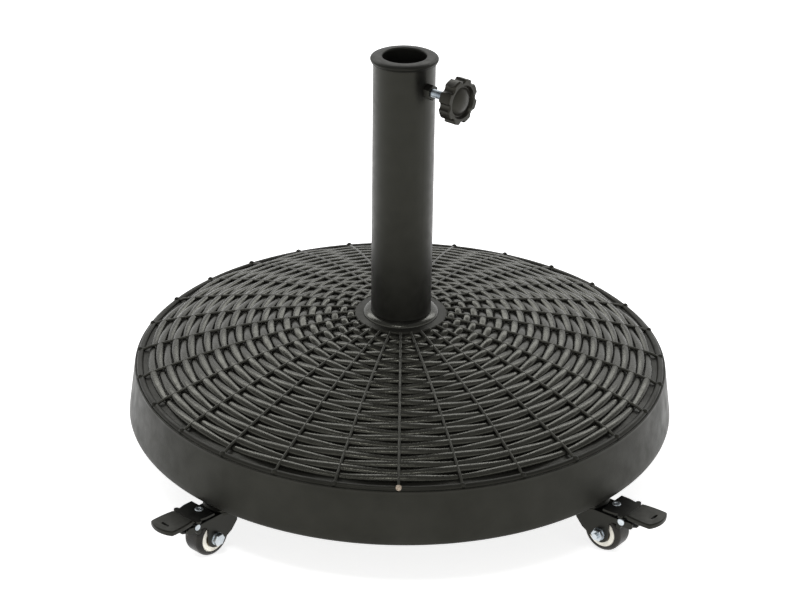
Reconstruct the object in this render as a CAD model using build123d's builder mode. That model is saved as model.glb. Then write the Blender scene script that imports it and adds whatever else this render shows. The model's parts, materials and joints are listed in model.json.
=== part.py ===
"""Round parasol base with a woven-effect top, a clamped pole socket and four braked castors.

Frame: millimetres, +Z up, origin on the disc's axis at floor level.
The four castors stand on the diagonals, and rest with their wheels and pedals pointing outward.
"""

import os
from math import acos, cos, degrees, radians, sin

from build123d import *

os.makedirs("parts", exist_ok=True)

# ---- weighted disc ---------------------------------------------------------
disc_diameter = 521.0      # bottom edge of the side wall, before it is rounded
side_height = 52.0         # underside of the disc to the rim edge
side_taper = 7.5           # how far the side wall leans in on its way up
bottom_round = 4.0         # rounding of the side wall's bottom edge
shell_wall = 4.0
dome_rise = 45.5           # rim edge to the flat hub
dome_bulge = 6.1           # how far the dome stands above a plain cone
weave_depth = 4.5          # the dome lies this far below the tops of the weave
rim_roll_radius = 5.5      # rolled border cord around the rim
rim_roll_inset = 6.5       # rim edge to the middle of the border cord
hub_radius = 44.0          # flat ring that the socket tube stands in
hub_round = 1.5
tray_thickness = 3.0
tray_edge_break = 0.75
ballast_recess_height = 30.0
ballast_recess_inner = 60.0
ballast_recess_outer = 200.0
ballast_recess_draft = 20.0  # degrees
cast_gap = 0.3             # between the moulded shell and what lies inside it

# ---- socket tube, cap and foot ---------------------------------------------
tube_diameter = 57.0
tube_wall = 1.5
tube_above_hub = 251.7     # hub face to the top edge of the tube
tube_fit = 0.15            # radial clearance around the tube
foot_floor = 11.0          # ballast left under the tube
foot_plug_thickness = 6.0
foot_bolt_diameter = 10.0
foot_bolt_across_flats = 16.0
foot_bolt_head_height = 6.4
foot_washer_diameter = 34.0
foot_washer_thickness = 2.5
collar_width = 7.1
collar_height = 4.0
pole_bore_diameter = 40.0  # takes a 38 mm pole
cap_lip_height = 6.0
cap_overhang = 2.6         # cap lip beyond the tube
cap_bead = 1.0             # thin step under the lip
cap_spigot_length = 14.0
cap_slope = 2.0            # fall of the lip's top face towards its edge
cap_land = 2.0             # level ring around the pole opening
cap_spigot_fit = 0.1
edge_break = 0.6           # chamfer on turned and pressed metal edges

# ---- pole clamp ------------------------------------------------------------
clamp_azimuth = -42.5      # degrees from +X
clamp_below_top = 27.6     # cap top to the screw's axis
screw_diameter = 8.0
screw_clearance = 0.05     # radial, in the nut's thread
screw_wall_gap = 0.3       # radial, in the tube's wall
nut_across_flats = 13.0
nut_height = 5.5
screw_showing = 17.2       # thread seen between nut and knob
pad_diameter = 10.0
pad_thickness = 2.4
pad_inset = 0.6            # tube bore to the back of the parked pad
pad_pin_diameter = 3.0
pad_pin_length = 4.0
pad_pin_clearance = 0.07
knob_diameter = 42.0
knob_thickness = 12.0
knob_boss_diameter = 20.0
knob_boss_length = 5.0
knob_lobes = 8
knob_notch_diameter = 8.0
knob_notch_depth = 2.6
knob_edge_round = 1.6
knob_dish_diameter = 31.0
knob_dish_depth = 3.0
knob_dish_draft = 25.0     # degrees
knob_dome_diameter = 26.0
knob_dome_height = 4.5

# ---- castors ---------------------------------------------------------------
castor_inset = 23.5        # disc's bottom edge to the swivel axis
wheel_diameter = 38.0
tyre_width = 20.5
tyre_shoulder = 4.5        # rounding of the tyre's shoulders
tyre_inner_radius = 14.5
hub_width = 20.0
hub_edge = 0.8
bearing_radius = 9.0
bearing_width = 16.0
bearing_sleeve_radius = 5.5
axle_diameter = 6.0
axle_clearance = 0.05
wheel_side_play = 0.2
axle_flange_radius = 6.0
axle_flange_thickness = 1.2
axle_across_flats = 10.5
axle_head_height = 4.0
axle_thread_end = 2.5
swivel_trail = 18.6        # swivel axis to axle
fork_gap = 21.5            # between the fork's cheeks
cheek_thickness = 2.0
crown_thickness = 2.5
crown_clearance = 1.0      # above the tyre
axle_lug_radius = 9.0
cheek_tail_inset = 9.0     # race's inboard edge to the cheeks' inboard end
cheek_tail_height = 8.0    # above the axle
crown_reach = 12.5         # crown plate beyond the axle
ear_step = 4.0             # sloped corner between the lug and the ear
ear_round = 2.5
ear_shoulder = 3.0         # brake pin to the start of the ear's sloped top
race_radius = 16.5
race_gap = 0.6
race_cap_height = 3.4
ball_diameter = 3.0
ball_circle_radius = 11.0
ball_clearance = 0.1
ball_count = 12
kingpin_diameter = 8.0
kingpin_clearance = 0.05
kingpin_head_radius = 6.0
kingpin_head_height = 2.0
kingpin_head_bevel = 1.0
kingpin_play = 0.15        # under the fork's crown plate
stem_collar_height = 6.5
stem_across_flats = 17.0
stem_diameter = 10.0
stem_length = 18.0
insert_radius = 8.0
insert_length = 22.0
insert_flange_radius = 11.0
insert_flange_thickness = 2.0

# ---- brakes ----------------------------------------------------------------
brake_pin_gap = 12.1       # tyre to the brake pin's axis
brake_pin_angle = 44.0     # degrees above level, seen from the axle
brake_pin_diameter = 5.0
brake_pin_clearance = 0.05
pin_head_radius = 3.6
pin_head_height = 1.5
pin_head_round = 1.2
pin_peen = 0.5
brake_travel = 12.0        # degrees from free to locked
lock_margin = 5.0          # degrees left before the shoe is square to the tyre
shoe_radius = 2.5
leaf_bend_radius = 2.5
leaf_knee = 1.0            # fork ear's end to the leaf's lower bend
leaf_reach = 4.0           # fork ear's end to the leaf's upper end
leaf_slot_margin = 0.3
shoe_gap = 0.3             # tyre to shoe when locked
ear_length = 11.5          # fork ear beyond the brake pin
ear_drop = 4.6
ear_rise = 2.3
lever_tilt = 1.0           # degrees up, when free
lever_thickness = 2.0
lever_below_disc = 4.0
lever_root_width = 30.0
lever_neck_width = 24.0
lever_root_clearance = 5.8
lever_lug_radius = 5.5
lever_lug_thickness = 2.2
lever_side_play = 0.4
leaf_thickness = 1.2
leaf_width = 12.0
sleeve_start = 5.0         # brake pin to the sleeve's inner end, along the lever
sleeve_length = 30.0
sleeve_wall = 1.5
sleeve_root_width = 26.0
sleeve_tip_width = 28.4
sleeve_belly = 0.8         # how far the sides bow out
sleeve_tip_round = 4.5     # how far the outer edge bows out
sleeve_corner_round = 2.5
sleeve_root_round = 2.0
sleeve_edge_round = 1.4
sleeve_mouth = 1.0         # the pocket's cut starts this far outside the sleeve
lever_tab_radius = 2.6     # rounded tabs beside the brake pin
lever_tab_inset = 0.8
lever_in_sleeve = 13.0
sleeve_slot_length = 9.5
sleeve_slot_width = 2.4
sleeve_slot_inset = 8.7
rivet_head_radius = 4.0
rivet_head_height = 0.6
rivet_shank_radius = 2.5
rivet_bore_radius = 1.6
rivet_peen_height = 0.6
rivet_peen_lap = 0.6
rivet_lip = 0.4            # bevel of the rivet's open head
rivet_inset = 4.6          # lever's root edge to the rivet's axis

# ---- places worked out from the sizes --------------------------------------
disc_radius = disc_diameter / 2
rim_radius = disc_radius - side_taper
dome_radius = rim_radius - rim_roll_inset - rim_roll_radius
tube_radius = tube_diameter / 2
tube_bore_radius = tube_radius - tube_wall
wheel_radius = wheel_diameter / 2
axle_radius = axle_diameter / 2

swivel_x = disc_radius - castor_inset
axle_x = swivel_x + swivel_trail
crown_bottom = wheel_diameter + crown_clearance
crown_top = crown_bottom + crown_thickness
cap_bottom = crown_top + race_gap
collar_bottom = cap_bottom + race_cap_height
underside = collar_bottom + stem_collar_height

rim_edge = underside + side_height
hub_face = rim_edge + dome_rise
tray_top = underside + tray_thickness
tube_bottom = tray_top + foot_floor
tube_top = hub_face + tube_above_hub
base_top = tube_top + cap_lip_height
clamp_height = base_top - clamp_below_top

nut_face = tube_radius + nut_height
knob_back = nut_face + screw_showing
pad_back = tube_bore_radius - pad_inset

brake_pin_reach = wheel_radius + brake_pin_gap
brake_pin_x = axle_x + brake_pin_reach * cos(radians(brake_pin_angle))
brake_pin_z = wheel_radius + brake_pin_reach * sin(radians(brake_pin_angle))
cheek_inner = fork_gap / 2
cheek_outer = cheek_inner + cheek_thickness
lever_lug_outer = cheek_inner - lever_side_play
lever_top = underside - lever_below_disc - brake_pin_z
lever_root = swivel_x + race_radius + lever_root_clearance - brake_pin_x
sleeve_end = sleeve_start + sleeve_length

disc_axis = Axis.Z
swivel_axis = Axis((swivel_x, 0, 0), (0, 0, 1))
wheel_axis = Axis((axle_x, 0, wheel_radius), (0, 1, 0))

clamp_direction = Vector(cos(radians(clamp_azimuth)), sin(radians(clamp_azimuth)), 0)
clamp_plane = Plane((0, 0, clamp_height), x_dir=(0, 0, 1), z_dir=clamp_direction)
clamp_axis = Axis((0, 0, clamp_height), clamp_direction)
side_plane = Plane((axle_x, 0, wheel_radius), x_dir=(1, 0, 0), z_dir=(0, -1, 0))
lever_direction = Vector(cos(radians(lever_tilt)), 0, sin(radians(lever_tilt)))
lever_up = Vector(-sin(radians(lever_tilt)), 0, cos(radians(lever_tilt)))
lever_plane = Plane((brake_pin_x, 0, brake_pin_z), x_dir=lever_direction, z_dir=lever_up)
lever_side = Plane((brake_pin_x, 0, brake_pin_z), x_dir=lever_direction, z_dir=(0, -1, 0))
castor_azimuths = {"front_left": 225, "front_right": 315, "rear_right": 45, "rear_left": 135}
castor_headings = {"front_left": 0.0, "front_right": 3.5, "rear_right": -2.0, "rear_left": 2.5}
first_castor = min(castor_azimuths.values())


def save(piece, label):
    """Label one finished piece and write it to its own file."""
    piece.label = label
    export_step(piece, f"parts/{label}.step")


# ---- weighted disc ---------------------------------------------------------
def wall_radius(height):
    """Radius of the side wall's outer skin at this height."""
    return disc_radius - side_taper * (height - underside) / side_height


def disc_section(inset, bottom):
    """Half section of the disc, drawn this far inside its outer skin."""
    wall_top = (wall_radius(rim_edge - inset) - inset, rim_edge - inset)
    dome_start = (dome_radius, rim_edge - inset)
    dome_end = (hub_radius, hub_face - weave_depth - inset)
    dome_middle = (
        (dome_start[0] + dome_end[0]) / 2,
        (dome_start[1] + dome_end[1]) / 2 + dome_bulge,
    )
    with BuildSketch() as section:
        with BuildLine():
            Polyline((0, bottom), (wall_radius(bottom) - inset, bottom), wall_top, dome_start)
            ThreePointArc(dome_start, dome_middle, dome_end)
            Polyline(dome_end, (0, dome_end[1]), (0, bottom))
        make_face()
    return section.sketch


with BuildPart() as weight_shell:
    with BuildSketch(Plane.XZ) as shell_section:
        add(disc_section(0, underside))
        with Locations((rim_radius - rim_roll_inset, rim_edge)):
            Circle(rim_roll_radius)
        with BuildLine():
            Polyline(
                (0, hub_face - weave_depth - shell_wall / 2),
                (hub_radius, hub_face - weave_depth - shell_wall / 2),
                (hub_radius, hub_face),
                (0, hub_face),
                close=True,
            )
        make_face()
        fillet(shell_section.vertices().group_by(Axis.Y)[-1].sort_by(Axis.X)[-1], hub_round)
    revolve(axis=disc_axis)
    fillet(weight_shell.edges().group_by(Axis.Z)[0], bottom_round)
    with BuildSketch(Plane.XZ):
        add(disc_section(shell_wall, underside - shell_wall))
    revolve(axis=disc_axis, mode=Mode.SUBTRACT)
    with BuildSketch(Plane.XY.offset(underside)):
        Circle(tube_radius + tube_fit)
    extrude(amount=hub_face, mode=Mode.SUBTRACT)
save(weight_shell.part, "weight_shell")

with BuildPart() as base_tray:
    with BuildSketch(Plane.XY.offset(underside)):
        Circle(wall_radius(tray_top) - shell_wall - cast_gap)
        Circle(foot_bolt_diameter / 2 + tube_fit, mode=Mode.SUBTRACT)
        with PolarLocations(swivel_x, len(castor_azimuths), start_angle=first_castor):
            Circle(stem_diameter / 2 + tube_fit, mode=Mode.SUBTRACT)
    extrude(amount=tray_thickness)
    chamfer(base_tray.edges().filter_by(GeomType.CIRCLE).sort_by(Edge.length)[-2:], tray_edge_break)
save(base_tray.part, "base_tray")

with BuildPart() as ballast_core:
    with BuildSketch(Plane.XZ):
        add(disc_section(shell_wall + cast_gap, tray_top))
    revolve(axis=disc_axis)
    with BuildSketch(Plane.XY.offset(tray_top)):
        Circle(ballast_recess_outer)
        Circle(ballast_recess_inner, mode=Mode.SUBTRACT)
    extrude(amount=ballast_recess_height, taper=ballast_recess_draft, mode=Mode.SUBTRACT)
    with BuildSketch(Plane.XY.offset(tube_bottom)):
        Circle(tube_radius + tube_fit)
    extrude(amount=hub_face, mode=Mode.SUBTRACT)
    with BuildSketch(Plane.XY.offset(tray_top)):
        Circle(foot_bolt_diameter / 2 + tube_fit)
    extrude(amount=foot_floor, mode=Mode.SUBTRACT)
    with BuildSketch(Plane.XY.offset(tray_top)):
        with PolarLocations(swivel_x, len(castor_azimuths), start_angle=first_castor):
            Circle(insert_radius)
    extrude(amount=insert_length, mode=Mode.SUBTRACT)
    with BuildSketch(Plane.XY.offset(tray_top + insert_length - insert_flange_thickness)):
        with PolarLocations(swivel_x, len(castor_azimuths), start_angle=first_castor):
            Circle(insert_flange_radius)
    extrude(amount=insert_flange_thickness, mode=Mode.SUBTRACT)
save(ballast_core.part, "ballast_core")

with BuildPart() as castor_inserts:
    with BuildSketch(Plane.XY.offset(tray_top)):
        with PolarLocations(swivel_x, len(castor_azimuths), start_angle=first_castor):
            Circle(insert_radius)
    extrude(amount=insert_length)
    with BuildSketch(Plane.XY.offset(tray_top + insert_length - insert_flange_thickness)):
        with PolarLocations(swivel_x, len(castor_azimuths), start_angle=first_castor):
            Circle(insert_flange_radius)
    extrude(amount=insert_flange_thickness)
    with BuildSketch(Plane.XY.offset(tray_top)):
        with PolarLocations(swivel_x, len(castor_azimuths), start_angle=first_castor):
            Circle(stem_diameter / 2)
    extrude(amount=stem_length, mode=Mode.SUBTRACT)
save(castor_inserts.part, "castor_inserts")

# ---- socket tube and what holds it -----------------------------------------
with BuildPart() as pole_tube:
    with BuildSketch(Plane.XY.offset(tube_bottom)):
        Circle(tube_radius)
        Circle(tube_bore_radius, mode=Mode.SUBTRACT)
    extrude(amount=tube_top - tube_bottom)
    with BuildSketch(Plane.XY.offset(tube_bottom)):
        Circle(tube_bore_radius)
        Circle(foot_bolt_diameter / 2, mode=Mode.SUBTRACT)
    extrude(amount=foot_plug_thickness)
    with BuildSketch(clamp_plane):
        Circle(screw_diameter / 2 + screw_wall_gap)
    extrude(amount=disc_radius, mode=Mode.SUBTRACT)
save(pole_tube.part, "pole_tube")

with BuildPart() as foot_bolt:
    with BuildSketch(Plane.XY.offset(underside)):
        Circle(foot_washer_diameter / 2)
    extrude(amount=-foot_washer_thickness)
    with BuildSketch(Plane.XY.offset(underside - foot_washer_thickness)):
        RegularPolygon(foot_bolt_across_flats / 2, 6, major_radius=False)
    extrude(amount=-foot_bolt_head_height)
    with BuildSketch(Plane.XY.offset(underside)):
        Circle(foot_bolt_diameter / 2)
    extrude(amount=tray_thickness + foot_floor + foot_plug_thickness)
save(foot_bolt.part, "foot_bolt")

with BuildPart() as hub_collar:
    collar_inner = tube_radius + tube_fit
    with BuildSketch(Plane.XZ):
        with BuildLine():
            Polyline(
                (collar_inner, hub_face + collar_height),
                (collar_inner, hub_face),
                (collar_inner + collar_width, hub_face),
            )
            EllipticalCenterArc(
                (collar_inner, hub_face), collar_width, collar_height, start_angle=0, arc_size=90
            )
        make_face()
    revolve(axis=disc_axis)
save(hub_collar.part, "hub_collar")

with BuildPart() as top_cap:
    lip_radius = tube_radius + cap_overhang
    bore_radius = pole_bore_diameter / 2
    with BuildSketch(Plane.XZ):
        with BuildLine():
            Polyline(
                (bore_radius, tube_top - cap_spigot_length),
                (tube_bore_radius - cap_spigot_fit, tube_top - cap_spigot_length),
                (tube_bore_radius - cap_spigot_fit, tube_top),
                (lip_radius - cap_bead, tube_top),
                (lip_radius - cap_bead, tube_top + cap_bead),
                (lip_radius, tube_top + cap_bead),
                (lip_radius, base_top - cap_slope),
                (bore_radius + cap_land, base_top),
                (bore_radius, base_top),
                close=True,
            )
        make_face()
    revolve(axis=disc_axis)
    lip_edges = top_cap.edges().filter_by(GeomType.CIRCLE).group_by(Axis.Z)
    fillet(lip_edges[-2] + lip_edges[-1].sort_by(Edge.length)[:1], cap_bead)
save(top_cap.part, "top_cap")

# ---- pole clamp ------------------------------------------------------------
with BuildPart() as clamp_nut:
    with BuildSketch(clamp_plane):
        RegularPolygon(nut_across_flats / 2, 6, major_radius=False)
    extrude(amount=nut_face)
    chamfer(clamp_nut.faces().sort_by(clamp_axis)[-1].edges(), edge_break)
    with BuildSketch(Plane.XY.offset(clamp_height - nut_across_flats)):
        Circle(tube_radius)
    extrude(amount=nut_across_flats * 2, mode=Mode.SUBTRACT)
    with BuildSketch(clamp_plane):
        Circle(screw_diameter / 2 + screw_clearance)
    extrude(amount=nut_face, mode=Mode.SUBTRACT)
save(clamp_nut.part, "clamp_nut")

with BuildPart() as clamp_pad:
    with BuildSketch(clamp_plane.offset(pad_back)):
        Circle(pad_diameter / 2)
    extrude(amount=-pad_thickness)
    chamfer(clamp_pad.edges().sort_by(clamp_axis)[:1], edge_break)
    with BuildSketch(clamp_plane.offset(pad_back)):
        Circle(pad_pin_diameter / 2)
    extrude(amount=pad_pin_length)
save(clamp_pad.part, "clamp_pad")

with BuildPart() as clamp_screw:
    with BuildSketch(clamp_plane.offset(pad_back)):
        Circle(screw_diameter / 2)
    extrude(amount=knob_back + knob_boss_length - pad_back)
    with BuildSketch(clamp_plane.offset(pad_back)):
        Circle(pad_pin_diameter / 2 + pad_pin_clearance)
    extrude(amount=pad_pin_length + pad_inset, mode=Mode.SUBTRACT)
save(clamp_screw.part, "clamp_screw")

with BuildPart() as knob:
    knob_front = knob_back + knob_boss_length + knob_thickness
    with BuildSketch(clamp_plane.offset(knob_back + knob_boss_length)):
        Circle(knob_diameter / 2)
        with PolarLocations((knob_diameter + knob_notch_diameter) / 2 - knob_notch_depth, knob_lobes):
            Circle(knob_notch_diameter / 2, mode=Mode.SUBTRACT)
    extrude(amount=knob_thickness)
    rim_faces = knob.faces().sort_by(clamp_axis)
    fillet(rim_faces[0].edges() + rim_faces[-1].edges(), knob_edge_round)
    with BuildSketch(clamp_plane.offset(knob_back)):
        Circle(knob_boss_diameter / 2)
    extrude(amount=knob_boss_length)
    with BuildSketch(clamp_plane.offset(knob_front)):
        Circle(knob_dish_diameter / 2)
    extrude(amount=-knob_dish_depth, taper=knob_dish_draft, mode=Mode.SUBTRACT)
    dome_base = knob_front - knob_dish_depth
    dome_rim = knob_dome_diameter / 2
    dome_sphere = (dome_rim**2 + knob_dome_height**2) / (2 * knob_dome_height)
    dome_side = Plane(clamp_plane.origin, x_dir=clamp_direction, z_dir=(0, 0, 1))
    with BuildSketch(dome_side):
        with BuildLine():
            dome_line = Polyline(
                (dome_base + knob_dome_height, 0), (dome_base, 0), (dome_base, dome_rim)
            )
            RadiusArc(dome_line @ 1, dome_line @ 0, dome_sphere)
        make_face()
    revolve(axis=clamp_axis)
    with BuildSketch(clamp_plane.offset(knob_back)):
        Circle(screw_diameter / 2)
    extrude(amount=knob_boss_length, mode=Mode.SUBTRACT)
save(knob.part, "knob")


# ---- castor pieces, drawn on the +X side -----------------------------------
def ring_profile(rows):
    """Closed half section from (radius, height) corners around the swivel axis."""
    with BuildSketch(Plane.XZ) as profile:
        with BuildLine():
            Polyline(*[(swivel_x + radius, height) for radius, height in rows], close=True)
        make_face()
    return profile.sketch


def ball_groove():
    """Round groove that the castor's balls run in."""
    with BuildSketch(Plane.XZ) as groove:
        with Locations((swivel_x + ball_circle_radius, (crown_top + cap_bottom) / 2)):
            Circle(ball_diameter / 2 + ball_clearance)
    return groove.sketch


with BuildPart() as castor_stem:
    kingpin_radius = kingpin_diameter / 2
    head_top = crown_bottom - kingpin_play
    head_bottom = head_top - kingpin_head_height
    add(
        ring_profile(
            [
                (0, head_bottom),
                (kingpin_head_radius - kingpin_head_bevel, head_bottom),
                (kingpin_head_radius, head_bottom + kingpin_head_bevel),
                (kingpin_head_radius, head_top),
                (kingpin_radius, head_top),
                (kingpin_radius, cap_bottom),
                (race_radius, cap_bottom),
                (race_radius, cap_bottom + race_cap_height / 2),
                (race_radius - race_cap_height / 2, collar_bottom),
                (0, collar_bottom),
            ]
        )
    )
    revolve(axis=swivel_axis)
    add(ball_groove())
    revolve(axis=swivel_axis, mode=Mode.SUBTRACT)
    with BuildSketch(Plane.XY.offset(collar_bottom)):
        with Locations((swivel_x, 0)):
            RegularPolygon(stem_across_flats / 2, 6, major_radius=False)
    extrude(amount=stem_collar_height)
    with BuildSketch(Plane.XY.offset(underside)):
        with Locations((swivel_x, 0)):
            Circle(stem_diameter / 2)
    extrude(amount=tray_thickness + stem_length)

with BuildPart() as balls:
    with Locations((swivel_x, 0, (crown_top + cap_bottom) / 2)):
        with PolarLocations(ball_circle_radius, ball_count):
            Sphere(ball_diameter / 2)

with BuildPart() as fork:
    ear_x = brake_pin_x - axle_x
    ear_z = brake_pin_z - wheel_radius
    crown_z = crown_top - wheel_radius
    tail_x = cheek_tail_inset - race_radius - swivel_trail
    knee_x = -wheel_radius
    knee_angle = radians(180) + acos(axle_lug_radius / -knee_x)
    with BuildSketch(side_plane.offset(-cheek_outer)) as cheek:
        with BuildLine():
            lug = ThreePointArc(
                (axle_lug_radius * cos(knee_angle), axle_lug_radius * sin(knee_angle)),
                (0, -axle_lug_radius),
                (axle_lug_radius, 0),
            )
            Polyline(
                lug @ 1,
                (axle_lug_radius, ear_z - ear_drop - ear_step),
                (axle_lug_radius + ear_step, ear_z - ear_drop),
                (ear_x + ear_length, ear_z - ear_drop),
                (ear_x + ear_length, ear_z + ear_rise),
                (ear_x - ear_shoulder, crown_z),
                (tail_x, crown_z),
                (tail_x, cheek_tail_height),
                (knee_x, 0),
                lug @ 0,
            )
        make_face()
        fillet(cheek.vertices().group_by(Axis.X)[-1], ear_round)
        Circle(axle_radius, mode=Mode.SUBTRACT)
        with Locations((ear_x, ear_z)):
            Circle(brake_pin_diameter / 2, mode=Mode.SUBTRACT)
    extrude(amount=cheek_thickness)
    mirror(about=Plane.XZ)
    with BuildSketch(Plane.XY.offset(crown_bottom)):
        with Locations((swivel_x, 0)):
            Circle(race_radius)
        with Locations((axle_x + (crown_reach + tail_x) / 2, 0)):
            Rectangle(crown_reach - tail_x, cheek_outer * 2)
    extrude(amount=crown_thickness)
    with BuildSketch(Plane.XY.offset(crown_bottom)):
        with Locations((swivel_x, 0)):
            Circle(kingpin_diameter / 2 + kingpin_clearance)
    extrude(amount=crown_thickness, mode=Mode.SUBTRACT)
    add(ball_groove())
    revolve(axis=swivel_axis, mode=Mode.SUBTRACT)

with BuildPart() as axle_bolt:
    with BuildSketch(side_plane.offset(-cheek_outer)):
        Circle(axle_radius)
    extrude(amount=cheek_outer * 2 + axle_flange_thickness + axle_head_height + axle_thread_end)
    with BuildSketch(side_plane.offset(-cheek_outer)):
        Circle(axle_flange_radius)
    extrude(amount=-axle_flange_thickness)
    with BuildSketch(side_plane.offset(-cheek_outer - axle_flange_thickness)):
        RegularPolygon(axle_across_flats / 2, 6, major_radius=False)
    extrude(amount=-axle_head_height)
    chamfer(axle_bolt.faces().sort_by(Axis.Y)[-1].edges(), edge_break)

with BuildPart() as axle_nut:
    with BuildSketch(side_plane.offset(cheek_outer)):
        Circle(axle_flange_radius)
    extrude(amount=axle_flange_thickness)
    with BuildSketch(side_plane.offset(cheek_outer + axle_flange_thickness)):
        RegularPolygon(axle_across_flats / 2, 6, major_radius=False)
    extrude(amount=axle_head_height)
    chamfer(axle_nut.faces().sort_by(Axis.Y)[0].edges(), edge_break)
    with BuildSketch(side_plane.offset(cheek_outer)):
        Circle(axle_radius)
    extrude(amount=axle_flange_thickness + axle_head_height, mode=Mode.SUBTRACT)

with BuildPart() as tyre:
    with BuildSketch(Plane.XY.offset(wheel_radius)) as tread:
        with Locations((axle_x + (wheel_radius + tyre_inner_radius) / 2, 0)):
            Rectangle(wheel_radius - tyre_inner_radius, tyre_width)
        fillet(tread.vertices().group_by(Axis.X)[-1], tyre_shoulder)
    revolve(axis=wheel_axis)

with BuildPart() as wheel_hub:
    with BuildSketch(Plane.XY.offset(wheel_radius)) as rim_web:
        with Locations((axle_x + (tyre_inner_radius + bearing_radius) / 2, 0)):
            Rectangle(tyre_inner_radius - bearing_radius, hub_width)
        chamfer(rim_web.vertices(), hub_edge)
    revolve(axis=wheel_axis)

with BuildPart() as wheel_bearing:
    with BuildSketch(Plane.XY.offset(wheel_radius)):
        with Locations((axle_x + (bearing_radius + axle_radius + axle_clearance) / 2, 0)):
            Rectangle(bearing_radius - axle_radius - axle_clearance, bearing_width)
        with Locations((axle_x + (bearing_sleeve_radius + axle_radius + axle_clearance) / 2, 0)):
            Rectangle(
                bearing_sleeve_radius - axle_radius - axle_clearance,
                fork_gap - wheel_side_play * 2,
            )
    revolve(axis=wheel_axis)

# ---- brake pieces, drawn on the +X side ------------------------------------
with BuildPart() as brake_pin:
    pin_radius = brake_pin_diameter / 2
    with BuildSketch(lever_side.offset(-cheek_outer)):
        Circle(pin_radius)
    extrude(amount=cheek_outer * 2)
    with BuildSketch(lever_side.offset(cheek_outer)):
        Circle(pin_head_radius)
    extrude(amount=pin_head_height)
    fillet(brake_pin.faces().sort_by(Axis.Y)[0].edges(), pin_head_round)
    with BuildSketch(lever_side.offset(-cheek_outer)):
        Circle(pin_radius + pin_peen)
    extrude(amount=-pin_peen * 2)
    chamfer(brake_pin.faces().sort_by(Axis.Y)[-1].edges(), pin_peen / 2)

with BuildPart() as brake_lever:
    shoe_circle = brake_pin_gap - shoe_gap - shoe_radius
    shoe_angle = radians(180 + brake_pin_angle + lock_margin + brake_travel - lever_tilt)
    lever_bottom = lever_top - lever_thickness
    rivet_at = lever_root + rivet_inset
    tab_side = lever_root_width / 2 - lever_tab_inset
    with BuildSketch(lever_side.offset(-lever_lug_outer)):
        Circle(lever_lug_radius)
        with BuildLine():
            Polyline(
                (-lever_lug_radius, 0),
                (lever_lug_radius, 0),
                (lever_lug_radius, lever_bottom),
                (-lever_lug_radius, lever_bottom),
                close=True,
            )
        make_face()
    extrude(amount=lever_lug_thickness)
    mirror(about=Plane.XZ)
    with BuildSketch(lever_side.offset(-lever_lug_outer)):
        with Locations((shoe_circle * cos(shoe_angle), shoe_circle * sin(shoe_angle))):
            Circle(shoe_radius)
    extrude(amount=lever_lug_outer * 2)
    with BuildSketch(lever_side.offset(-leaf_width / 2)):
        with BuildLine():
            FilletPolyline(
                (shoe_circle * cos(shoe_angle), shoe_circle * sin(shoe_angle) - shoe_radius / 2),
                (ear_length + leaf_knee, leaf_knee - lever_lug_radius),
                (ear_length + leaf_reach, lever_bottom + leaf_thickness / 2),
                radius=leaf_bend_radius,
            )
        trace(line_width=leaf_thickness)
    extrude(amount=leaf_width)
    with BuildSketch(lever_plane.offset(lever_bottom)):
        with BuildLine():
            Polyline(
                (lever_root, -lever_root_width / 2),
                (lever_root + rivet_inset * 2, -lever_root_width / 2),
                (sleeve_start, -lever_neck_width / 2),
                (sleeve_start + lever_in_sleeve, -lever_neck_width / 2),
                (sleeve_start + lever_in_sleeve, lever_neck_width / 2),
                (sleeve_start, lever_neck_width / 2),
                (lever_root + rivet_inset * 2, lever_root_width / 2),
                (lever_root, lever_root_width / 2),
                close=True,
            )
        make_face()
        with Locations((0, tab_side), (0, -tab_side)):
            Circle(lever_tab_radius)
        with Locations((rivet_at, 0)):
            Circle(rivet_shank_radius, mode=Mode.SUBTRACT)
    extrude(amount=lever_thickness)
    with BuildSketch(lever_side.offset(-cheek_outer)):
        Circle(pin_radius + brake_pin_clearance)
    extrude(amount=cheek_outer * 2, mode=Mode.SUBTRACT)

with BuildPart() as pedal_sleeve:
    sleeve_bottom = lever_bottom - sleeve_wall
    tip_corner = (sleeve_end - sleeve_tip_round, sleeve_tip_width / 2)
    root_corner = (sleeve_start, sleeve_root_width / 2)
    belly = (
        (tip_corner[0] + root_corner[0]) / 2,
        (tip_corner[1] + root_corner[1]) / 2 + sleeve_belly,
    )
    with BuildSketch(lever_plane.offset(sleeve_bottom)) as paddle:
        with BuildLine():
            ThreePointArc(root_corner, belly, tip_corner)
            ThreePointArc(tip_corner, (sleeve_end, 0), (tip_corner[0], -tip_corner[1]))
            ThreePointArc(
                (tip_corner[0], -tip_corner[1]), (belly[0], -belly[1]), (root_corner[0], -root_corner[1])
            )
            Line((root_corner[0], -root_corner[1]), root_corner)
        make_face()
        fillet(paddle.vertices().group_by(Axis.X)[-1], sleeve_corner_round)
        fillet(paddle.vertices().group_by(Axis.X)[0], sleeve_root_round)
        with Locations((sleeve_end - sleeve_slot_inset, 0)):
            SlotOverall(sleeve_slot_length, sleeve_slot_width, rotation=90, mode=Mode.SUBTRACT)
    extrude(amount=lever_thickness + sleeve_wall * 2)
    top_and_bottom = pedal_sleeve.faces().sort_by(Axis((0, 0, 0), lever_up))
    paddle_rim = top_and_bottom[0].outer_wire().edges() + top_and_bottom[-1].outer_wire().edges()
    fillet(paddle_rim, sleeve_edge_round)
    with BuildSketch(lever_plane.offset(lever_bottom)):
        with Locations((sleeve_start + (lever_in_sleeve - sleeve_mouth) / 2, 0)):
            Rectangle(lever_in_sleeve + sleeve_mouth, lever_neck_width)
    extrude(amount=lever_thickness, mode=Mode.SUBTRACT)
    with BuildSketch(lever_plane.offset(sleeve_bottom)):
        with Locations((ear_length + leaf_reach, 0)):
            Rectangle(leaf_thickness * 4, leaf_width + leaf_slot_margin * 2)
    extrude(amount=sleeve_wall, mode=Mode.SUBTRACT)

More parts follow.
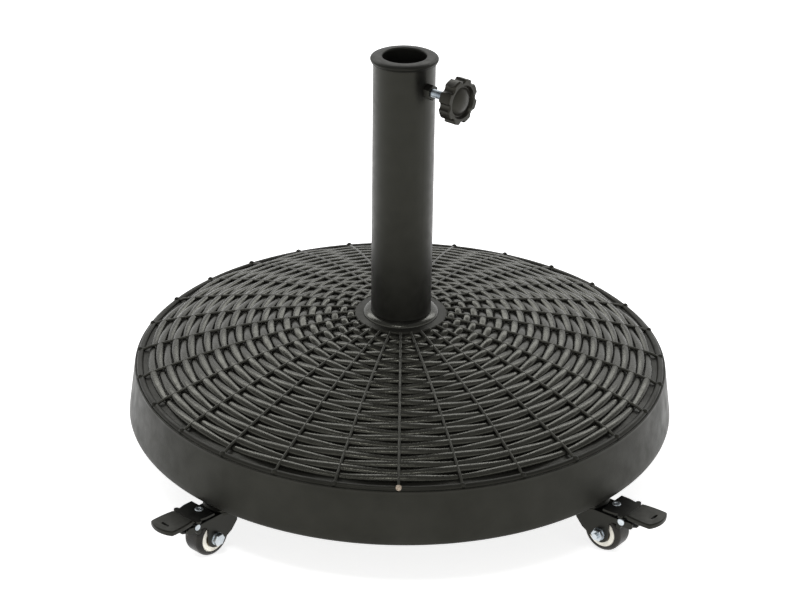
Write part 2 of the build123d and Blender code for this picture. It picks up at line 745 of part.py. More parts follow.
with BuildPart() as lever_rivet:
    rivet_axis = Axis(lever_plane.from_local_coords(Vector(rivet_at, 0, 0)), lever_up)
    with BuildSketch(lever_side):
        with BuildLine():
            Polyline(
                (rivet_at + rivet_bore_radius, lever_bottom - rivet_peen_height),
                (rivet_at + rivet_shank_radius + rivet_peen_lap, lever_bottom - rivet_peen_height),
                (rivet_at + rivet_shank_radius + rivet_peen_lap, lever_bottom),
                (rivet_at + rivet_shank_radius, lever_bottom),
                (rivet_at + rivet_shank_radius, lever_top),
                (rivet_at + rivet_head_radius, lever_top),
                (rivet_at + rivet_head_radius - rivet_lip, lever_top + rivet_head_height),
                (rivet_at + rivet_bore_radius + rivet_lip, lever_top + rivet_head_height),
                (rivet_at + rivet_bore_radius, lever_top),
                close=True,
            )
        make_face()
    revolve(axis=rivet_axis)

castor_pieces = {
    "castor_stem": castor_stem,
    "castor_balls": balls,
    "castor_fork": fork,
    "axle_bolt": axle_bolt,
    "axle_nut": axle_nut,
    "tyre": tyre,
    "wheel_hub": wheel_hub,
    "wheel_bearing": wheel_bearing,
    "brake_pin": brake_pin,
    "brake_lever": brake_lever,
    "pedal_sleeve": pedal_sleeve,
    "lever_rivet": lever_rivet,
}
for corner, azimuth in castor_azimuths.items():
    for piece_name, piece in castor_pieces.items():
        turned = piece.part.rotate(swivel_axis, castor_headings[corner])
        save(turned.rotate(disc_axis, azimuth), f"{corner}_{piece_name}")

print(f"height {base_top:.1f}, underside {underside:.1f}, hub face {hub_face:.1f}")
print(f"brake pin at {brake_pin_x:.2f}, {brake_pin_z:.2f}; sleeve reaches {brake_pin_x + sleeve_end:.1f}")
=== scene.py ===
# %% [markdown]
# # A weighted parasol base, dressed for its portrait
#
# The construction arrives ready made: every casting, tube, bolt and wheel is a fixed node in its real
# place. This notebook adds what makes the thing look like itself: the wicker pattern moulded into the
# lid, the thread on the clamp screw, softened edges, and a finish for every surface.

# %% Load the frame
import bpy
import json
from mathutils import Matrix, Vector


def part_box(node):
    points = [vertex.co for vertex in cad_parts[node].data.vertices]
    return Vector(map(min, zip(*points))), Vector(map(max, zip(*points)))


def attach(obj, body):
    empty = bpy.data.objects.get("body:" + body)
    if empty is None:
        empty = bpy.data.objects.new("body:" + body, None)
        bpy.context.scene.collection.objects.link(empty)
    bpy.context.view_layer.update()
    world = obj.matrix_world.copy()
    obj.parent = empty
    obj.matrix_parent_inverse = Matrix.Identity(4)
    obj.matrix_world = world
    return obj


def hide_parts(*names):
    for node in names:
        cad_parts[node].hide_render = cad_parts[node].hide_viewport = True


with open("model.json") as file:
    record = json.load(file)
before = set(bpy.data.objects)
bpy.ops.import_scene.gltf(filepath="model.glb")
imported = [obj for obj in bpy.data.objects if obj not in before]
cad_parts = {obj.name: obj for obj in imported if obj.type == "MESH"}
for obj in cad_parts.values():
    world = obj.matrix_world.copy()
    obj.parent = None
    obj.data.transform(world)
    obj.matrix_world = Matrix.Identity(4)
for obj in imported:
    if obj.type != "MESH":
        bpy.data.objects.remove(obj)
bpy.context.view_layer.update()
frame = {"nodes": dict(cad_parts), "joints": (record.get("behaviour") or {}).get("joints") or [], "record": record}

# %% [markdown]
# NumPy moves many points at once, and mathutils turns and places them. MM lets a size be read as the
# number that a maker would say, while Blender gets it in metres.

# %% Tools of the trade
import json
from math import cos, pi, radians, sin, tau

import bpy
import numpy as np
from mathutils import Matrix, Vector

MM = 0.001
print("one millimetre is", MM, "m")

# %% [markdown]
# ## Sizes that everything else leans on
# The frame knows where the castings are, so the pattern takes its radii and heights from them. Only what
# the castings can't say is set here, in millimetres times MM. The side wall leans, and its
# foot is rounded, so the disc's widest point lies a little inside the radius that the wall would have there.

# %% Sizes read from the frame
shell_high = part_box("weight_shell")[1]
cap_low, cap_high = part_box("top_cap")
tube_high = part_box("pole_tube")[1]
joint_of = {joint["name"]: joint for joint in frame["joints"]}
slot_of = {part["node"]: part["material_slot"] for part in frame["record"]["subparts"]}
body_of = {name: body for body, names in frame["record"]["behaviour"]["bodies"].items() for name in names}

side_wall_height = 52 * MM
side_wall_lean = 7.5 * MM
bottom_cut = 0.62 * MM
underside = 52 * MM
bottom_radius = shell_high[0] + bottom_cut
rim_radius = bottom_radius - side_wall_lean
rim_height = underside + side_wall_height
hub_radius = 44 * MM
hub_face = shell_high[2]
tube_radius = tube_high[0]
print(f"rim {rim_radius / MM:.1f} mm at {rim_height / MM:.1f} mm, hub face at {hub_face / MM:.1f} mm")

# %% [markdown]
# ## Small helpers
# Blender's operators act on whatever is selected, and loading the frame leaves its nodes selected. Each
# new piece therefore starts from an empty selection, and is settled the same way at the end: its place
# goes into its mesh, it is told which body it rides on, and it gets its finish.

# %% Helpers for making and settling a piece
def start_clean():
    """Deselect everything, so that the next operator touches only its own piece."""
    bpy.ops.object.select_all(action="DESELECT")


def take(*pieces):
    """Select only these pieces and make the first one active."""
    start_clean()
    for piece in pieces:
        piece.select_set(True)
    bpy.context.view_layer.objects.active = pieces[0]
    return pieces[0]


def name_it(piece, name):
    """Give a piece and its mesh the same name."""
    piece.name = name
    piece.data.name = name
    return piece


def join(pieces, name):
    """Join several pieces into one."""
    take(*pieces)
    bpy.ops.object.join()
    return name_it(bpy.context.object, name)


def points_of(piece):
    """The piece's points as an array with one row each."""
    places = np.zeros(len(piece.data.vertices) * 3, np.float32)
    piece.data.vertices.foreach_get("co", places)
    return places.reshape(-1, 3).astype(float)


def move_points(piece, places):
    """Put the piece's points in new places."""
    piece.data.vertices.foreach_set("co", places.astype(np.float32).ravel())
    piece.data.update()


def copy_turned(piece, turn):
    """A copy with its own mesh, turned about the disc's axis."""
    twin = piece.copy()
    twin.data = piece.data.copy()
    bpy.context.scene.collection.objects.link(twin)
    twin.data.transform(Matrix.Rotation(turn, 4, "Z"))
    return twin


def apply_modifier(piece, kind, **settings):
    """Add a modifier, set it, and make its result the mesh."""
    take(piece)
    bpy.ops.object.modifier_add(type=kind)
    modifier = piece.modifiers[-1]
    for key, value in settings.items():
        setattr(modifier, key, value)
    bpy.ops.object.modifier_apply(modifier=modifier.name)
    return piece


def heal(piece, gap=0.002 * MM):
    """Merge points that coincide and turn all faces outward."""
    take(piece)
    bpy.ops.object.mode_set(mode="EDIT")
    bpy.ops.mesh.select_all(action="SELECT")
    bpy.ops.mesh.remove_doubles(threshold=gap)
    bpy.ops.mesh.delete_loose(use_verts=True, use_edges=True, use_faces=False)
    bpy.ops.mesh.select_all(action="SELECT")
    bpy.ops.mesh.normals_make_consistent(inside=False)
    bpy.ops.object.mode_set(mode="OBJECT")
    return piece


def settle(piece, body, material, smooth_angle=35):
    """Fix the piece's place in its mesh, smooth it, and give it its body and finish."""
    take(piece)
    bpy.ops.object.transform_apply(location=True, rotation=True, scale=True)
    bpy.ops.object.shade_smooth_by_angle(angle=radians(smooth_angle))
    piece.data.materials.clear()
    piece.data.materials.append(material)
    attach(piece, body)
    triangles = sum(len(face.vertices) - 2 for face in piece.data.polygons)
    print(f"{piece.name}: {triangles} triangles on {body}")
    return piece


# %% [markdown]
# Much of this object is round about one axis or another. A turned piece starts as a plain circle whose
# points are moved onto the outline of one side of the piece, as a list of (radius, height). The Screw
# modifier then spins the outline once round Z, as a lathe does, and its seam is merged.

# %% Helpers for turned pieces
def arc(centre, radius, start, end, count=6):
    """Points of an arc in an outline, from one angle to another in degrees."""
    turns = np.radians(np.linspace(start, end, count))
    return [(centre[0] + radius * cos(turn), centre[1] + radius * sin(turn)) for turn in turns]


def turned(name, outline, steps=96):
    """Spin a closed outline of (radius, height) points round Z."""
    start_clean()
    bpy.ops.mesh.primitive_circle_add(vertices=len(outline), radius=1)
    piece = name_it(bpy.context.object, name)
    radii, heights = np.array(outline).T
    move_points(piece, np.stack([radii, 0 * radii, heights], 1))
    apply_modifier(
        piece, "SCREW", axis="Z", angle=tau, steps=steps, render_steps=steps,
        use_merge_vertices=True, merge_threshold=0.002 * MM,
    )
    return heal(piece)


def facing(place, direction):
    """A frame whose origin is at this place and whose Z points this way."""
    turn = Vector(direction).normalized().to_track_quat("Z", "Y").to_matrix().to_4x4()
    return Matrix.Translation(Vector(place)) @ turn


# %% [markdown]
# ## Finishes
# Nearly all of this object is black, so the finishes have to differ in how they shine and in their
# grain rather than in colour. A small kit does the common work: a noise that shifts the colour, a noise
# that varies the roughness, and a bump. Each finish then has a function of its own that says what the
# real surface is. The base colours are very dark, because a black moulding under white light owes most
# of its grey to the light that it mirrors at a slant.

# %% A finish and its nodes
warm_shine = (1.0, 1.0, 0.84)


def new_finish(
    name, colour, roughness, metallic=0.0, coat=0.0, coat_roughness=0.1, specular=0.5, tint=(1.0, 1.0, 1.0)
):
    """A material with its constants set straight on the shader. Returns the material and its node tree."""
    material = bpy.data.materials.new(name)
    material.use_nodes = True
    shader = material.node_tree.nodes["Principled BSDF"]
    shader.inputs["Base Color"].default_value = (*colour, 1)
    shader.inputs["Roughness"].default_value = roughness
    shader.inputs["Metallic"].default_value = metallic
    shader.inputs["Coat Weight"].default_value = coat
    shader.inputs["Coat Roughness"].default_value = coat_roughness
    shader.inputs["Specular IOR Level"].default_value = specular
    shader.inputs["Specular Tint"].default_value = (*tint, 1)
    material.diffuse_color = (*colour, 1)
    return material, material.node_tree


def node(tree, kind, **settings):
    """Add a node and set its properties."""
    made = tree.nodes.new(kind)
    for key, value in settings.items():
        setattr(made, key, value)
    return made


# %% [markdown]
# The patterns come from noise and from Voronoi cells, both read at the point's place in the piece. Their
# values are stretched to the range that each use needs.

# %% Patterns
def object_place(tree):
    """The point's place in the piece, in metres."""
    return node(tree, "ShaderNodeTexCoord").outputs["Object"]


def noise(tree, place, scale, detail=3.0, roughness=0.5):
    """A noise whose features are about 1/scale metres across."""
    made = node(tree, "ShaderNodeTexNoise")
    made.inputs["Scale"].default_value = scale
    made.inputs["Detail"].default_value = detail
    made.inputs["Roughness"].default_value = roughness
    tree.links.new(place, made.inputs["Vector"])
    return made.outputs["Fac"]


def spread(tree, value, low, high, out_low, out_high):
    """Stretch a value from one range to another, without leaving it."""
    made = node(tree, "ShaderNodeMapRange")
    for socket, number in zip(("From Min", "From Max", "To Min", "To Max"), (low, high, out_low, out_high)):
        made.inputs[socket].default_value = number
    tree.links.new(value, made.inputs["Value"])
    return made.outputs["Result"]


def specks(tree, place, spacing, size):
    """A value that is 1 in scattered dots of this size and 0 between them."""
    cells = node(tree, "ShaderNodeTexVoronoi")
    cells.inputs["Scale"].default_value = 1 / spacing
    tree.links.new(place, cells.inputs["Vector"])
    reach = size / spacing / 2
    return spread(tree, cells.outputs["Distance"], 0.5 * reach, reach, 1, 0)


# %% [markdown]
# A noise seldom leaves the middle of its range, so the full swing of a colour or a roughness is given to
# the part between 0.3 and 0.7.

# %% What a pattern drives
noise_low = 0.3
noise_high = 0.7


def vary_colour(tree, value, dark, light):
    """Run the base colour from dark to light over the noise's usual range."""
    ramp = node(tree, "ShaderNodeValToRGB")
    ramp.color_ramp.elements[0].position = noise_low
    ramp.color_ramp.elements[1].position = noise_high
    ramp.color_ramp.elements[0].color = (*dark, 1)
    ramp.color_ramp.elements[1].color = (*light, 1)
    tree.links.new(value, ramp.inputs["Fac"])
    tree.links.new(ramp.outputs["Color"], tree.nodes["Principled BSDF"].inputs["Base Color"])
    return ramp.outputs["Color"]


def spot_colour(tree, below, spots, colour):
    """Lay a second colour over the first wherever the spots are 1."""
    mixed = node(tree, "ShaderNodeMix", data_type="RGBA")
    sockets = [socket for socket in mixed.inputs if socket.type == "RGBA"]
    sockets[1].default_value = (*colour, 1)
    tree.links.new(spots, mixed.inputs["Factor"])
    tree.links.new(below, sockets[0])
    result = [socket for socket in mixed.outputs if socket.type == "RGBA"][0]
    tree.links.new(result, tree.nodes["Principled BSDF"].inputs["Base Color"])
    return result


def vary_roughness(tree, value, low, high):
    """Let the roughness follow a noise."""
    result = spread(tree, value, noise_low, noise_high, low, high)
    tree.links.new(result, tree.nodes["Principled BSDF"].inputs["Roughness"])


def add_bump(tree, height, distance, strength=1.0):
    """Raise and sink the surface by up to this distance. Bumps chain: the finer one comes last."""
    bump = node(tree, "ShaderNodeBump")
    bump.inputs["Strength"].default_value = strength
    bump.inputs["Distance"].default_value = distance
    tree.links.new(height, bump.inputs["Height"])
    normal = tree.nodes["Principled BSDF"].inputs["Normal"]
    if normal.is_linked:
        tree.links.new(normal.links[0].from_socket, bump.inputs["Normal"])
    tree.links.new(bump.outputs["Normal"], normal)


# %% [markdown]
# ### The moulded resin
# The lid is one moulding, a dark warm grey with a satin skin. Wicker has a grain along each strand, so
# the noise for the strands is read in polar form: how far round the disc, how far out, and how high. The
# grain then runs along every ring by itself. The plain wall gets an even, sandy grain and a few sunk
# pinholes with pale specks in them.

# %% Resin finishes
resin_dark = (0.0075, 0.0073, 0.0062)
resin_light = (0.0150, 0.0146, 0.0125)
# Pale colour laid over the resin in scattered specks.
pale_speck_colour = (0.075, 0.072, 0.062)


def polar_place(tree, around, outward):
    """(angle round the disc, radius, height) with its own scale along and across the rings."""
    place = object_place(tree)
    split = node(tree, "ShaderNodeSeparateXYZ")
    tree.links.new(place, split.inputs["Vector"])
    angle = node(tree, "ShaderNodeMath", operation="ARCTAN2")
    tree.links.new(split.outputs["Y"], angle.inputs[0])
    tree.links.new(split.outputs["X"], angle.inputs[1])
    flat = node(tree, "ShaderNodeCombineXYZ")
    tree.links.new(split.outputs["X"], flat.inputs["X"])
    tree.links.new(split.outputs["Y"], flat.inputs["Y"])
    radius = node(tree, "ShaderNodeVectorMath", operation="LENGTH")
    tree.links.new(flat.outputs["Vector"], radius.inputs[0])
    joined = node(tree, "ShaderNodeCombineXYZ")
    for value, factor, socket in (
        (angle.outputs["Value"], around, "X"),
        (radius.outputs["Value"], outward, "Y"),
        (split.outputs["Z"], outward, "Z"),
    ):
        scaled = node(tree, "ShaderNodeMath", operation="MULTIPLY")
        scaled.inputs[1].default_value = factor
        tree.links.new(value, scaled.inputs[0])
        tree.links.new(scaled.outputs["Value"], joined.inputs[socket])
    return joined.outputs["Vector"]


def wicker_resin():
    """The rings of the weave: satin, with a faint grain along each strand and pale specks in places."""
    material, tree = new_finish("wicker_resin", resin_dark, 0.32, specular=0.6, tint=warm_shine)
    place = object_place(tree)
    ground = vary_colour(tree, noise(tree, place, 45, 4), resin_dark, resin_light)
    spot_colour(tree, ground, specks(tree, place, 11 * MM, 0.9 * MM), pale_speck_colour)
    vary_roughness(tree, noise(tree, place, 120, 3), 0.18, 0.34)
    add_bump(tree, noise(tree, polar_place(tree, 60, 1600), 1.0, 2), 0.12 * MM, 0.5)
    add_bump(tree, noise(tree, place, 700, 3), 0.10 * MM, 0.45)
    return material


def cord_resin():
    """The thin cords that cross the rings: the same resin, a shade lighter where it is rubbed."""
    material, tree = new_finish("cord_resin", resin_light, 0.4, specular=0.5, tint=warm_shine)
    place = object_place(tree)
    ground = vary_colour(tree, noise(tree, place, 60, 3), resin_dark, (0.020, 0.0195, 0.017))
    spot_colour(tree, ground, specks(tree, place, 9 * MM, 0.8 * MM), pale_speck_colour)
    vary_roughness(tree, noise(tree, place, 150, 2), 0.34, 0.5)
    add_bump(tree, noise(tree, place, 900, 3), 0.09 * MM, 0.5)
    return material


def shell_resin():
    """The plain side wall, the border and the hub: sandy and satin, with a few pinholes."""
    material, tree = new_finish("shell_resin", resin_dark, 0.42, specular=0.24, tint=warm_shine)
    place = object_place(tree)
    ground = vary_colour(tree, noise(tree, place, 25, 5), resin_dark, resin_light)
    pinholes = specks(tree, place, 26 * MM, 1.1 * MM)
    spot_colour(tree, ground, pinholes, pale_speck_colour)
    vary_roughness(tree, noise(tree, place, 70, 3), 0.36, 0.5)
    add_bump(tree, noise(tree, place, 60, 3), 0.35 * MM, 0.35)
    add_bump(tree, noise(tree, place, 600, 4, 0.6), 0.12 * MM, 0.5)
    add_bump(tree, pinholes, -0.3 * MM, 0.6)
    return material


def worn_resin():
    """One stud on the rim has lost its skin: pale filler shows, mottled with brown."""
    material, tree = new_finish("worn_resin", (0.42, 0.36, 0.28), 0.6)
    place = object_place(tree)
    vary_colour(tree, noise(tree, place, 900, 3, 0.7), (0.20, 0.12, 0.06), (0.62, 0.55, 0.46))
    add_bump(tree, noise(tree, place, 1500, 3), 0.15 * MM, 0.6)
    return material


# %% [markdown]
# ### Enamel, plastic and metal
# The tube and the forks are powder coated: a smooth black with a faint orange peel. The collar and the
# knob are glossy mouldings, the cap and the pedals satin ones. Bolts, nuts and rivets are zinc plated,
# which is a soft blue-white metal with cloudy patches, not a mirror.

# %% Enamel, plastic and metal finishes
def orange_peel(name, colour, roughness, specular):
    """Powder coat: black, with a faint ripple about a millimetre and a half across."""
    material, tree = new_finish(name, colour, roughness, specular=specular, tint=warm_shine)
    place = object_place(tree)
    dark = tuple(0.75 * channel for channel in colour)
    light = tuple(1.35 * channel for channel in colour)
    vary_colour(tree, noise(tree, place, 80, 3), dark, light)
    vary_roughness(tree, noise(tree, place, 160, 2), roughness - 0.05, roughness + 0.07)
    add_bump(tree, noise(tree, place, 650, 2), 0.05 * MM, 0.35)
    return material


def moulded_plastic(name, colour, roughness, grain_size, grain_depth, coat=0.0, specular=0.5):
    """A moulded plastic: even colour, slight clouding, and the grain of its mould."""
    material, tree = new_finish(
        name, colour, roughness, coat=coat, coat_roughness=0.15, specular=specular, tint=warm_shine
    )
    place = object_place(tree)
    dark = tuple(0.8 * channel for channel in colour)
    light = tuple(1.25 * channel for channel in colour)
    vary_colour(tree, noise(tree, place, 60, 3), dark, light)
    vary_roughness(tree, noise(tree, place, 140, 2), roughness - 0.06, roughness + 0.06)
    add_bump(tree, noise(tree, place, 1 / grain_size, 3), grain_depth, 0.5)
    return material


def tyre_rubber():
    """A smooth moulded tread whose colour runs to brown in patches, a painted highlight for the tread's brownish
    sheen.
    """
    material, tree = new_finish(
        "tyre_tread", (0.007, 0.0066, 0.0058), 0.3, coat=0.05, coat_roughness=0.15, specular=0.25
    )
    place = object_place(tree)
    # The brownish patches are painted highlights: the tread's brown sheen laid into its colour.
    vary_colour(tree, noise(tree, place, 110, 4, 0.6), (0.005, 0.005, 0.0045), (0.020, 0.017, 0.012))
    vary_roughness(tree, noise(tree, place, 160, 3), 0.22, 0.42)
    add_bump(tree, noise(tree, place, 380, 3), 0.08 * MM, 0.4)
    return material


def plated_metal(name, dark, light, roughness, cloud=120):
    """Plated or turned metal with cloudy patches and fine scratches."""
    material, tree = new_finish(name, light, roughness, metallic=1.0)
    place = object_place(tree)
    vary_colour(tree, noise(tree, place, cloud, 4), dark, light)
    vary_roughness(tree, noise(tree, place, cloud * 2, 3), roughness - 0.06, roughness + 0.14)
    add_bump(tree, noise(tree, place, 2200, 2), 0.02 * MM, 0.3)
    return material


def cast_concrete():
    """The ballast, seen only when the base is taken apart."""
    material, tree = new_finish("cast_concrete", (0.35, 0.34, 0.32), 0.9)
    place = object_place(tree)
    vary_colour(tree, noise(tree, place, 90, 6, 0.7), (0.24, 0.235, 0.22), (0.42, 0.41, 0.39))
    add_bump(tree, noise(tree, place, 260, 5, 0.7), 0.5 * MM, 0.8)
    return material


# %% [markdown]
# The record names a material slot for every node. The finishes are kept under those names, with three more
# for the parts of the lid: the wicker, the cords and the worn stud.

# %% Make all the finishes
finishes = {
    "wicker": wicker_resin(),
    "cord": cord_resin(),
    "worn": worn_resin(),
    "woven_shell": shell_resin(),
    "concrete": cast_concrete(),
    "black_tray": moulded_plastic("tray_plastic", (0.010, 0.010, 0.009), 0.55, 1.2 * MM, 0.1 * MM),
    "black_enamel": orange_peel("tube_enamel", (0.0060, 0.0059, 0.0053), 0.34, specular=0.31),
    "gloss_collar": moulded_plastic(
        "collar_plastic", (0.009, 0.009, 0.008), 0.24, 2.5 * MM, 0.04 * MM, 0.2
    ),
    "cap_plastic": moulded_plastic(
        "cap_plastic", (0.0065, 0.0065, 0.0058), 0.42, 0.9 * MM, 0.05 * MM, specular=0.2
    ),
    "knob_plastic": moulded_plastic(
        "knob_plastic", (0.0075, 0.0062, 0.0050), 0.36, 1.6 * MM, 0.12 * MM, specular=0.32
    ),
    "nylon": moulded_plastic("natural_nylon", (0.72, 0.70, 0.64), 0.4, 2 * MM, 0.03 * MM),
    "zinc": plated_metal("zinc_plate", (0.42, 0.46, 0.50), (0.74, 0.79, 0.82), 0.26),
    "brass": plated_metal("turned_brass", (0.60, 0.42, 0.16), (0.80, 0.60, 0.28), 0.3),
    "bearing_steel": plated_metal("ball_steel", (0.62, 0.62, 0.64), (0.78, 0.78, 0.80), 0.12),
    "fork_enamel": orange_peel("fork_enamel", (0.0035, 0.0035, 0.0036), 0.34, specular=0.32),
    "tyre_rubber": tyre_rubber(),
    "white_hub": moulded_plastic("cream_hub", (0.88, 0.85, 0.76), 0.35, 2 * MM, 0.03 * MM, 0.2),
    "bearing_gold": plated_metal("yellow_passivate", (0.16, 0.11, 0.04), (0.46, 0.34, 0.16), 0.34, 200),
    "pedal_plastic": moulded_plastic(
        "pedal_plastic", (0.0060, 0.0058, 0.0052), 0.42, 0.8 * MM, 0.1 * MM, specular=0.3
    ),
}
print("finishes", len(finishes))

# %% [markdown]
# Each casting keeps its shape and only changes its material, to the one that its slot names.

# %% Dress the castings
for node_name, casting in frame["nodes"].items():
    casting.data.materials.clear()
    casting.data.materials.append(finishes[slot_of[node_name]])
print("castings dressed", len(frame["nodes"]))

# %% [markdown]
# ## The lid's body
# Under the weave the lid is a plain round moulding: a side wall that leans in on its way up, a thin bead
# on its edge, a rolled border, a shallow dome and the ring that the tube stands in. The casting under it
# has the same form, but a moulding's edges are soft, so its outline is drawn once more with every corner
# rounded and spun round. It is hollow, as the casting is, because the ballast lies inside it.

# %% Sizes of the lid
bottom_round = 4 * MM
edge_bead = 1.0 * MM
border_radius = rim_radius - 4.9 * MM
border_roll = 3.3 * MM
rim_drop = 1.0 * MM
dome_edge = rim_radius - 10.2 * MM
dome_foot = hub_face - 4.5 * MM
dome_bulge = 6.1 * MM
wall_thickness = 4 * MM
wall_start = 60 * MM
wall_end = 100 * MM
inner_wall_top = 97 * MM
hub_round = 1.5 * MM
tube_hole = tube_radius + 0.15 * MM
wall_tilt = np.degrees(np.arctan2(side_wall_lean, side_wall_height))


def dome_height(radius):
    """Height of the dome's skin, which the strands rest on."""
    climbed = (dome_edge - radius) / (dome_edge - hub_radius)
    return rim_height + climbed * (dome_foot - rim_height) + 4 * dome_bulge * climbed * (1 - climbed)


def wall_radius(height):
    """Radius of the side wall at this height."""
    return bottom_radius - side_wall_lean * (height - underside) / side_wall_height


# %% [markdown]
# The outline goes up the outside, over the border and the dome to the tube's hole, and back underneath.

# %% Turn the lid's body
dome_radii = np.linspace(dome_edge, hub_radius, 26)
dome_line = [(radius, dome_height(radius)) for radius in dome_radii]
bead_centre = (rim_radius - edge_bead * 0.8, rim_height - rim_drop - edge_bead * 0.6)
bottom_centre = (wall_radius(underside + bottom_round) - bottom_round, underside + bottom_round)
outline = (
    [(bottom_radius - wall_thickness - 1 * MM, underside)]
    + arc(bottom_centre, bottom_round, -90, -wall_tilt, 8)
    + [(wall_radius(height), height) for height in np.linspace(wall_start, wall_end, 9)]
    + arc(bead_centre, edge_bead, -25, 175, 10)
    + arc((border_radius, rim_height - rim_drop), border_roll, 0, 165, 18)
    + dome_line
    + arc((hub_radius - hub_round, hub_face - hub_round), hub_round, 0, 90, 5)
    + [(tube_hole, hub_face), (tube_hole, dome_foot - wall_thickness)]
    + [(radius, dome_height(radius) - wall_thickness) for radius in dome_radii[::-5]]
    + [(wall_radius(inner_wall_top) - wall_thickness, rim_height - wall_thickness)]
)
lid_body = turned("lid_body", outline, 288)
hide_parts("weight_shell")
settle(lid_body, "base", finishes["woven_shell"], 40)

# %% [markdown]
# ## The woven top
# The lid imitates a round of wicker: 26 thick strands run round it, and 28 thin cords run out from the hub
# like spokes. Each strand dips at every second cord, and its neighbours dip at the others, as in a plain
# weave. A texture could fake this from above, but from this low the strands hide one another, so they are
# modelled.

# %% Sizes of the weave
spoke_count = 28
row_count = 26
row_pitch = 7.6 * MM
outer_row_radius = 237.8 * MM
front_spoke = radians(-92.7)
crest_above_dome = 4.5 * MM
strand_half_width = 3.75 * MM
strand_half_height = 2.9 * MM
strand_dip = 2.4 * MM
dip_sharpness = 1.2
strand_swelling = 0.04
strand_pinch = 0.08
strand_squareness = 0.8
strand_sides = 12
cord_half_width = 1.35 * MM
cord_half_height = 1.4 * MM
cord_sides = 10


def crest_height(radius):
    """Height of the weave's highest points at this radius."""
    return dome_height(radius) + crest_above_dome


def slope_angle(radius):
    """How far the surface leans outwards here."""
    step = 1 * MM
    return np.arctan((dome_height(radius - step) - dome_height(radius + step)) / (2 * step))


def off_surface(radius, along, out):
    """(radius, height) of a point this far along the slope and out along its normal from the crests."""
    lean = slope_angle(radius)
    return (
        radius + along * np.cos(lean) + out * np.sin(lean),
        crest_height(radius) - along * np.sin(lean) + out * np.cos(lean),
    )


def squared(circle):
    """Push a cosine or sine outwards, which turns a circle into a rounded square."""
    return np.sign(circle) * np.abs(circle) ** strand_squareness


# %% [markdown]
# A torus gives each ring its strand, and its round section is squared a little, as a split cane's is. One
# formula then waves every ring along the slope's own normal, so that a dark slit opens where a strand dips.
# Wide rings get more points between two cords than narrow ones.

# %% Model the rings
def weave_ring(index):
    """One strand: a torus, squared and flattened, then waved over and under the cords."""
    radius = outer_row_radius - index * row_pitch
    steps = 7 + round(6 * radius / outer_row_radius)
    start_clean()
    bpy.ops.mesh.primitive_torus_add(
        major_segments=spoke_count * steps,
        minor_segments=strand_sides,
        major_radius=radius,
        minor_radius=strand_half_width,
    )
    ring = bpy.context.object
    places = points_of(ring)
    angle = np.arctan2(places[:, 1], places[:, 0])
    sideways = (np.hypot(places[:, 0], places[:, 1]) - radius) / strand_half_width
    across = squared(sideways) * strand_half_width
    up = squared(places[:, 2] / strand_half_width) * strand_half_height
    under = (1 - np.cos(spoke_count / 2 * (angle - front_spoke) + pi * index)) / 2
    breadth = 1 + strand_swelling - strand_pinch * under**2
    depth = up - strand_half_height - strand_dip * under**dip_sharpness
    new_radius, new_height = off_surface(radius, across * breadth, depth)
    move_points(ring, np.stack([new_radius * np.cos(angle), new_radius * np.sin(angle), new_height], 1))
    return ring


weave_rings = join([weave_ring(index) for index in range(row_count)], "weave_rings")
settle(weave_rings, "base", finishes["wicker"], 60)

# %% [markdown]
# The cords follow a route that is easiest to draw from the side: out from the hub over the tops of the
# strands, with a slight rise and fall, and onto the border, where each ends under a stud. A cylinder is cut
# into short lengths by Subdivide and its rings are laid along the route. Two cords are enough, one for
# each half of the pattern; the others are turned copies.

# %% Model the cords
cord_top = 0.35 * MM
cord_swing = 0.1 * MM
cord_start = hub_radius - 1.5 * MM
stud_turn = 60
cord_on_border = border_roll + 0.5 * MM - cord_half_height
cord_end_turn = stud_turn + 14


def cord_route(parity):
    """Side view of a cord from hub to border, as arrays of radius and height."""
    inner = np.linspace(cord_start, dome_edge - 1.5 * MM, 110)
    turn = pi * ((outer_row_radius - inner) / row_pitch + parity + 1)
    lift = cord_top - cord_half_height + cord_swing * (np.cos(turn) - 1)
    radii, heights = off_surface(inner, 0, lift)
    over = np.radians(np.linspace(135, cord_end_turn, 9))
    radii = np.concatenate([radii, border_radius + cord_on_border * np.cos(over)])
    heights = np.concatenate([heights, rim_height - rim_drop + cord_on_border * np.sin(over)])
    return radii, heights


# %% [markdown]
# Only the cylinder's long edges are selected before Subdivide, so its two end caps stay whole.

# %% Lay a cord along its route
def weave_cord(parity):
    """One cord: a cylinder, cut short and laid along its route."""
    radii, heights = cord_route(parity)
    rings = len(radii) - 1
    start_clean()
    bpy.ops.mesh.primitive_cylinder_add(vertices=cord_sides, radius=cord_half_width, depth=rings)
    cord = bpy.context.object
    bpy.ops.object.mode_set(mode="EDIT")
    bpy.ops.mesh.select_mode(type="EDGE")
    bpy.ops.mesh.select_all(action="DESELECT")
    bpy.ops.object.mode_set(mode="OBJECT")
    for edge in cord.data.edges:
        low, high = (cord.data.vertices[i].co for i in edge.vertices)
        edge.select = abs(low.z - high.z) > rings / 2
    bpy.ops.object.mode_set(mode="EDIT")
    bpy.ops.mesh.subdivide(number_cuts=rings - 1)
    bpy.ops.object.mode_set(mode="OBJECT")
    places = points_of(cord)
    step = np.rint(places[:, 2] + rings / 2).astype(int)
    run = np.gradient(radii)
    climb = np.gradient(heights)
    length = np.hypot(run, climb)
    along = np.stack([run / length, climb / length], 1)[step]
    lift = places[:, 0] * cord_half_height / cord_half_width
    radius = radii[step] - lift * along[:, 1]
    height = heights[step] + lift * along[:, 0]
    move_points(cord, np.stack([radius, places[:, 1], height], 1))
    return heal(cord)


cord_patterns = [weave_cord(0), weave_cord(1)]
cords = []
for index in range(spoke_count):
    cords.append(copy_turned(cord_patterns[index % 2], front_spoke + index * tau / spoke_count))
for pattern in cord_patterns:
    bpy.data.objects.remove(pattern)
weave_cords = join(cords, "weave_cords")
settle(weave_cords, "base", finishes["cord"], 60)

